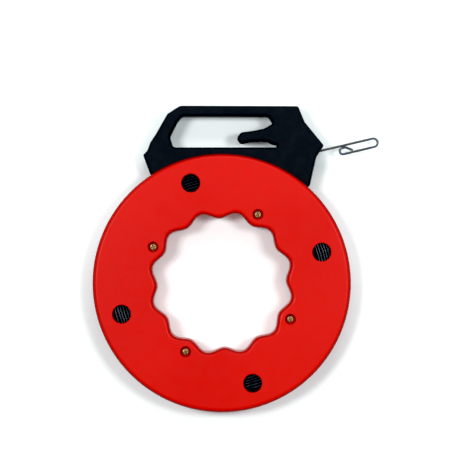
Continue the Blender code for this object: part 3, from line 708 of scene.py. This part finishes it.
def grip_half(name, node, side):
    bm = bmesh.new()
    edge, seam = 3.0, 0.35
    levels = [(seam, SPLIT), (seam * 0.3, SPLIT + seam * 0.3), (0.0, SPLIT + seam)]
    levels += [
        (edge * (1 - math.cos(math.radians(90 * k / 9))), GRIP_HALF - edge * (1 - math.sin(math.radians(90 * k / 9)))) for k in range(10)
    ]
    ends = []
    for corners in (GRIP_OUTLINE + shoe_corners(), GRIP_OPENING):
        rings = []
        for inset, z in levels:
            loop = rounded_loop(inset_corners(corners, inset), 7)
            rings.append([bm.verts.new(p) for p in world([(x, y, side * z) for x, y in loop])])
        for first, second in zip(rings, rings[1:]):
            for j in range(len(first)):
                k = (j + 1) % len(first)
                bm.faces.new((first[j], first[k], second[k], second[j]))
        ends.append(rings)
    fill(bm, [ends[0][0], ends[1][0]])
    fill(bm, [ends[0][-1], ends[1][-1]])
    bmesh.ops.recalc_face_normals(bm, faces=bm.faces)
    mesh = bpy.data.meshes.new(name)
    bm.to_mesh(mesh)
    bm.free()
    half = bpy.data.objects.new(name, mesh)
    bpy.context.scene.collection.objects.link(half)
    combine(half, bar(Shape(), 44.0, 100.5, 2.4, 2.8), "DIFFERENCE")
    combine(half, bar(Shape(), 98.6, 125.0, 3.4, 3.4), "DIFFERENCE")
    combine(half, bar(Shape(), 102.15, 105.35, 5.05, 5.05), "DIFFERENCE")
    feet = Shape()
    for first, last in RUNNERS.values():
        section = [(106.0, -3.8), (110.55, -3.8), (110.55, -6.3), (113.35, -6.3), (113.35, 6.3), (110.55, 6.3), (110.55, 3.8), (106.0, 3.8)]
        feet.turned(section, steps=24, start=first - 0.4, end=last + 0.4)
    combine(half, feet, "DIFFERENCE")
    holes = Shape()
    for x, y in GRIP_SCREWS:
        if side > 0:
            holes.stacked([(1.7, -1.0), (1.7, 9.4)], (x, y), 24)
        else:
            holes.stacked(flared_hole(3.2, -GRIP_SEAT, GRIP_HALF, 0.4), (x, y), 40, -1)
    combine(half, holes, "DIFFERENCE")
    if side < 0:
        shafts = Shape()
        for x, y in GRIP_SCREWS:
            shafts.stacked([(1.7, -1.0), (1.7, 11.4)], (x, y), 24, -1)
        combine(half, shafts, "DIFFERENCE")
    return finish_piece(half, BLACK, "grip", [node], 35)


grip_half("handle_front_shell", "handle_front", 1)
grip_half("handle_rear_shell", "handle_rear", -1)
for i, (x, y) in enumerate(GRIP_SCREWS):
    screw(f"handle_screw_{i + 1}_detail", f"handle_screw_{i + 1}", (x, y), GRIP_SEAT - 0.05, -1, 1.4, 2.7, 1.8, 18.5, 1.1, BLACK_ZINC, "grip")

for name, (first, last) in RUNNERS.items():
    section = rounded_loop([
        (101.4, -8.0, 0.5), (103.9, -8.0, 0.5), (103.9, -3.5, 0.4), (110.9, -3.5, 0.3), (110.9, -6.0, 0.4), (113.0, -6.0, 0.4),
        (113.0, 6.0, 0.4), (110.9, 6.0, 0.4), (110.9, 3.5, 0.3), (103.9, 3.5, 0.4), (103.9, 8.0, 0.5), (101.4, 8.0, 0.5),
    ], 4)
    foot = Shape().turned(section, steps=40, start=first, end=last).object(name + "_foot")
    finish_piece(foot, ACETAL, "grip", [name])


def guide_loop(s, half_left, half_z, corner):
    box = [(half_left, -half_z, corner), (half_left, half_z, corner), (-half_left, half_z, corner), (-half_left, -half_z, corner)]
    return [along_tape(s, left, z) for left, z in rounded_loop(box, 6)]


G0, G1, G_HALF, BORE_T, BORE_W = 99.0, 110.8, 3.1, TAPE_T / 2 + 0.45, TAPE_W / 2 + 0.45
guide_sections = [guide_loop(G0, G_HALF - 0.3, G_HALF - 0.3, 0.7), guide_loop(G0 + 0.3, G_HALF, G_HALF, 0.9), guide_loop(102.5, G_HALF, G_HALF, 0.9)]
guide_sections += [guide_loop(102.5, 4.7, 4.7, 1.0), guide_loop(105.0, 4.7, 4.7, 1.0), guide_loop(105.0, G_HALF, G_HALF, 0.9)]
for k in range(7):
    turn = math.radians(90 * k / 6)
    guide_sections.append(guide_loop(G1 - 1.0 + math.sin(turn), G_HALF - 1.0 + math.cos(turn), G_HALF - 1.0 + math.cos(turn), 0.9))
for k in range(7):
    turn = math.radians(90 * k / 6)
    guide_sections.append(guide_loop(G1 - 0.8 + 0.8 * math.cos(turn), BORE_T + 0.8 - 0.8 * math.sin(turn), BORE_W + 0.8 - 0.8 * math.sin(turn), 0.5))
for k in range(7):
    turn = math.radians(90 * k / 6)
    guide_sections.append(guide_loop(G0 + 0.8 - 0.8 * math.sin(turn), BORE_T + 0.8 * (1 - math.cos(turn)), BORE_W + 0.8 * (1 - math.cos(turn)), 0.5))
guide = Shape().skin(guide_sections, True).object("tape_guide_eyelet")
finish_piece(guide, NYLON, "grip", ["tape_guide"])

CLIP_LOW, CLIP_T, CLIP_HALF, CLIP_BEND, CLIP_ANGLE = -6.0, 1.2, 4.5, 1.5, 107.2
clip_out, clip_side, level = polar(1, CLIP_ANGLE), polar(1, CLIP_ANGLE + 90), CLIP_LOW + CLIP_T / 2
spine = [(r, level, -90.0) for r in np.linspace(69.05, 82.0 - CLIP_BEND, 30)]
spine += [
    (82.0 - CLIP_BEND + CLIP_BEND * math.cos(math.radians(turn)), level + CLIP_BEND + CLIP_BEND * math.sin(math.radians(turn)), turn)
    for turn in np.linspace(-80, 0, 9)
]
spine += [(82.0, z, 0.0) for z in np.linspace(level + CLIP_BEND + 0.6, 2.95, 12)]
clip_sections = []
for i, (r, z, facing) in enumerate(spine):
    from_end = min(i, len(spine) - 1 - i)
    slim = 1.0 if from_end > 1 else (0.80, 0.95)[from_end]
    away = clip_out * math.cos(math.radians(facing)) + np.array([0.0, 0.0, math.sin(math.radians(facing))])
    here = clip_out * r + np.array([0.0, 0.0, z])
    clip_sections.append([here + p for p in tape_section(away, clip_side, CLIP_T / 2 * slim, CLIP_HALF - CLIP_T * (1 - slim), 0.35 * slim)])
clip = Shape().skin(clip_sections, False).object("tape_anchor_clip_bent")
combine(clip, Shape().stacked([(1.8, CLIP_LOW - 1.0), (1.8, CLIP_LOW + CLIP_T + 1.0)], polar(73.5, CLIP_ANGLE), 32), "DIFFERENCE")
finish_piece(clip, STEEL, "reel", ["tape_anchor_clip"], 40)


# ------------------------------------------------------------------ floor, light and camera
bpy.ops.mesh.primitive_grid_add(x_subdivisions=8, y_subdivisions=8, size=8.0, location=(0, 0, CAD_LO.z - 0.0004))
floor = bpy.context.object
floor.name = "floor"
floor.data.materials.append(pale_floor())

scene = bpy.context.scene
scene.view_settings.view_transform = "Standard"
scene.view_settings.look = "None"
scene.view_settings.use_curve_mapping = True
scene.view_settings.curve_mapping.black_level = (0.011, 0.011, 0.011)
scene.view_settings.curve_mapping.update()
background = bpy.data.worlds.new("studio")
scene.world = background
background.use_nodes = True
background.node_tree.nodes["Background"].inputs[0].default_value = (0.965, 0.98, 1.0, 1.0)
background.node_tree.nodes["Background"].inputs[1].default_value = 0.49


def softbox(name, at, towards, size, power, colour=(1, 1, 1)):
    light = bpy.data.lights.new(name, "AREA")
    light.shape, light.size, light.size_y = "RECTANGLE", size[0], size[1]
    light.energy, light.color = power, colour
    made = bpy.data.objects.new(name, light)
    made.location = at
    made.rotation_mode = "QUATERNION"
    made.rotation_quaternion = (Vector(towards) - Vector(at)).to_track_quat("-Z", "Y")
    scene.collection.objects.link(made)


softbox("key_left", (-0.82, 0.22, 2.20), (0, 0, 0), (0.36, 0.50), 22.9)
softbox("key_right", (0.82, 0.22, 2.20), (0, 0, 0), (0.36, 0.50), 18.9)
softbox("fill_far", (0.06, 0.60, 0.60), (0, -0.02, 0), (0.50, 0.25), 2.4)

PIXEL = 230.0 / 257.6     # millimetres a pixel covers in the front face's plane
DISTANCE = 2400.0
camera_data = bpy.data.cameras.new("camera")
camera_data.sensor_width = 36.0
camera_data.lens = 36.0 * DISTANCE / (452 * PIXEL) * 1.0044
camera = bpy.data.objects.new("camera", camera_data)
camera.location = world([((225.5 - 221.24) * PIXEL, (282.56 - 225.62) * PIXEL, CASE_HALF + DISTANCE)])[0]
scene.collection.objects.link(camera)
scene.camera = camera
